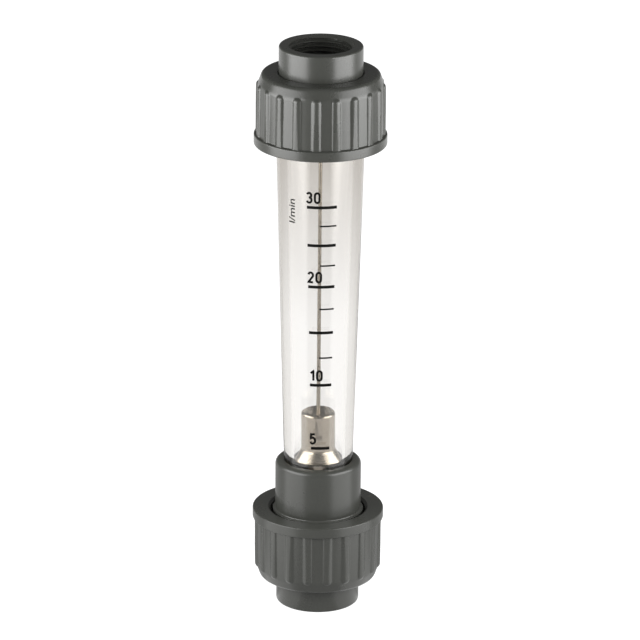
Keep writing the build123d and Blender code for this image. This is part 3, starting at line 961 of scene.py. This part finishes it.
def studio_floor(stage):
    """White paper. The camera sees it plain white but for the object's shadow. Through the clear
    tube it is white near the meter and warm grey far behind it, a painted falloff of the lamps'
    light. In gloss it is dim, with a painted pool of light in front of each softbox and a painted
    brighter patch behind the meter."""
    material, tree = new_material("studio_floor")
    path = add_node(tree, "ShaderNodeLightPath").outputs
    place_in = add_node(tree, "ShaderNodeNewGeometry").outputs["Position"]
    away = add_node(tree, "ShaderNodeVectorMath", {0: place_in}, operation="LENGTH")
    away = away.outputs["Value"]
    depth = add_node(tree, "ShaderNodeSeparateXYZ", {0: place_in}).outputs["Y"]

    # Painted falloff of the lamps' light: seen through the tube, the floor goes from white near the
    # meter to warm grey far behind it
    through = add_node(tree, "ShaderNodeMix", {
        0: spread(tree, away, 0.0, 1.0, 0.42, 0.86), 4: (1.055, 1.065, 1.085),
        5: (0.52, 0.488, 0.45)}, data_type="VECTOR").outputs[1]

    # How nearly a point of the floor lies in the direction of the nearer softbox
    toward = add_node(tree, "ShaderNodeVectorMath", {0: place_in}, operation="NORMALIZE")
    across, ahead = math.sin(stage.softbox_angle), -math.cos(stage.softbox_angle)
    nearer = sums(tree, "MAXIMUM", *[
        add_node(tree, "ShaderNodeVectorMath", {
            0: toward.outputs["Vector"], 1: (side * across, ahead, 0.0)},
            operation="DOT_PRODUCT").outputs["Value"] for side in (-1, 1)])
    # Painted pools of light, seen only in gloss: bright in front of each softbox, dim elsewhere
    dim = spread(tree, away, 0.58, 0.32, 0.10, 0.60)
    bright = spread(tree, away, 1.0, 2.1, 0.0, 0.22)
    painted_light_pools = spread(tree, nearer, dim, bright, math.cos(math.radians(35)),
                   math.cos(math.radians(23)), interpolation_type="SMOOTHSTEP")
    # Painted brighter patch behind the meter, seen only in gloss
    painted_gloss_light = sums(tree, "MAXIMUM", painted_light_pools, spread(tree, depth, 0.0, 1.0, 0.15, 0.6))
    mirrored = add_node(tree, "ShaderNodeMix", {
        0: path["Is Transmission Ray"], 4: painted_gloss_light, 5: through}, data_type="VECTOR").outputs[1]
    reflected = add_node(tree, "ShaderNodeEmission", {"Color": mirrored, "Strength": 1.0})

    # A little darker near the meter, where the lamps' light comes on top
    white = spread(tree, away, 0.9, 1.0, 0.2, 0.9)
    seen = sums(tree, "MULTIPLY", path["Is Camera Ray"], white)
    paper = add_node(tree, "ShaderNodeEmission", {"Color": (1, 1, 1, 1), "Strength": seen})
    matt = add_node(tree, "ShaderNodeBsdfDiffuse", {"Color": (0.4, 0.4, 0.4, 1)})
    lit = add_node(tree, "ShaderNodeAddShader", {0: paper.outputs[0], 1: matt.outputs[0]})
    which = sums(tree, "MAXIMUM", path["Is Glossy Ray"], path["Is Transmission Ray"])
    both = add_node(tree, "ShaderNodeMixShader", {
        0: which, 1: lit.outputs[0], 2: reflected.outputs[0]})
    add_node(tree, "ShaderNodeOutputMaterial", {"Surface": both.outputs[0]})
    return material


def studio_world():
    """Even light from all round: white to the camera, soft fill on matt surfaces, and dim in
    gloss, so that flat upper faces stay dark."""
    world = bpy.data.worlds.new("studio")
    world.use_nodes = True
    tree = world.node_tree
    tree.nodes.clear()
    path = add_node(tree, "ShaderNodeLightPath").outputs
    fill, dimming, white = 0.38, -0.26, 0.62
    strength = sums(tree, "MULTIPLY_ADD", path["Is Glossy Ray"], dimming, fill)
    strength = sums(tree, "MULTIPLY_ADD", path["Is Camera Ray"], white, strength)
    room = add_node(tree, "ShaderNodeBackground", {"Color": (1, 1, 1, 1), "Strength": strength})
    add_node(tree, "ShaderNodeOutputWorld", {"Surface": room.outputs[0]})
    return world


def softbox(stage, name, side):
    """Softbox on one side of the camera that looks level at the axis. Its diffuser is bright in
    the middle and fades out at its upper and lower edges."""
    lamp = bpy.data.lights.new(name, "AREA")
    lamp.shape = "RECTANGLE"
    lamp.size, lamp.size_y = stage.softbox_width, stage.softbox_height
    lamp.energy = stage.softbox_power
    lamp.use_nodes = True
    tree = lamp.node_tree
    tree.nodes.clear()
    place_in = add_node(tree, "ShaderNodeNewGeometry").outputs["Position"]
    height = add_node(tree, "ShaderNodeSeparateXYZ", {0: place_in}).outputs["Z"]
    off = sums(tree, "ABSOLUTE", sums(tree, "SUBTRACT", height, stage.softbox_rise))
    glow = spread(tree, off, 1.0, 0.0, stage.softbox_core, stage.softbox_height / 2,
                  interpolation_type="SMOOTHSTEP")
    light = add_node(tree, "ShaderNodeEmission", {"Color": (1, 1, 1, 1), "Strength": glow})
    add_node(tree, "ShaderNodeOutputLight", {"Surface": light.outputs[0]})

    box = bpy.data.objects.new(name, lamp)
    turn = side * stage.softbox_angle
    centre = Vector((0.0, 0.0, stage.softbox_rise))
    box.location = centre + Vector((math.sin(turn), -math.cos(turn), 0.0)) * stage.softbox_distance
    box.rotation_euler = (centre - box.location).to_track_quat("-Z", "Z").to_euler()
    return box


def studio_camera(stage):
    """Camera with a long lens that looks down at the meter and leans a little."""
    back = Vector((0.0, -math.cos(stage.elevation), math.sin(stage.elevation)))
    eye = back * stage.distance + Vector((0.0, 0.0, TOTAL_HEIGHT / 2))
    aim = Vector((stage.aim_right, 0.0, stage.aim_height))
    view = (aim - eye).to_track_quat("-Z", "Y").to_matrix().to_4x4()
    lens = bpy.data.cameras.new("camera")
    lens.lens = stage.focal_length
    lens.sensor_width = 36.0
    lens.clip_end = 50.0
    camera = bpy.data.objects.new("camera", lens)
    camera.matrix_world = Matrix.Translation(eye) @ view @ Matrix.Rotation(stage.roll, 4, "Z")
    return camera


class FLOWMETER_OT_stage(Operator):
    """Sets up the floor, the lamps and the camera"""
    bl_idname = "flow_meter.stage"
    bl_label = "Stage"

    def execute(self, context):
        scene, stage = context.scene, context.scene.flow_meter_stage
        scene.view_settings.view_transform = "Standard"

        mesh = bpy.data.meshes.new("floor")
        shape = bmesh.new()
        bmesh.ops.create_circle(shape, cap_ends=True, segments=96, radius=6.0)
        shape.to_mesh(mesh)
        shape.free()
        mesh.materials.append(studio_floor(stage))
        floor = bpy.data.objects.new("floor", mesh)
        scene.collection.objects.link(floor)

        scene.world = studio_world()
        for name, side in (("softbox_left", -1), ("softbox_right", 1)):
            scene.collection.objects.link(softbox(stage, name, side))
        camera = studio_camera(stage)
        scene.collection.objects.link(camera)
        scene.camera = camera
        return {"FINISHED"}


SETTINGS = (
    ("flow_meter_union", UnionSettings),
    ("flow_meter_nut", NutSettings),
    ("flow_meter_tube", TubeSettings),
    ("flow_meter_scale", ScaleSettings),
    ("flow_meter_finish", FinishSettings),
    ("flow_meter_stage", StageSettings),
)
OPERATORS = (
    FLOWMETER_OT_end_connectors,
    FLOWMETER_OT_union_nuts,
    FLOWMETER_OT_tube_adaptor,
    FLOWMETER_OT_measuring_tube,
    FLOWMETER_OT_printed_scale,
    FLOWMETER_OT_inner_parts,
    FLOWMETER_OT_stage,
)


class FLOWMETER_PT_sidebar(Panel):
    """Lists the meter's pieces and their settings"""
    bl_idname = "FLOWMETER_PT_sidebar"
    bl_label = "Flow Meter"
    bl_space_type = "VIEW_3D"
    bl_region_type = "UI"
    bl_category = "Flow Meter"

    def draw(self, context):
        column = self.layout.column()
        for operator in OPERATORS:
            column.operator(operator.bl_idname)
        for attribute, group in SETTINGS:
            box = column.box()
            for key in group.__annotations__:
                box.prop(getattr(context.scene, attribute), key)


def register():
    for attribute, group in SETTINGS:
        bpy.utils.register_class(group)
        setattr(bpy.types.Scene, attribute, PointerProperty(type=group))
    for operator in OPERATORS:
        bpy.utils.register_class(operator)
    bpy.utils.register_class(FLOWMETER_PT_sidebar)


def unregister():
    bpy.utils.unregister_class(FLOWMETER_PT_sidebar)
    for operator in reversed(OPERATORS):
        bpy.utils.unregister_class(operator)
    for attribute, group in reversed(SETTINGS):
        delattr(bpy.types.Scene, attribute)
        bpy.utils.unregister_class(group)


def main():
    register()
    for operator in OPERATORS:
        group, name = operator.bl_idname.split(".")
        getattr(getattr(bpy.ops, group), name)()


if __name__ == "__main__":
    main()
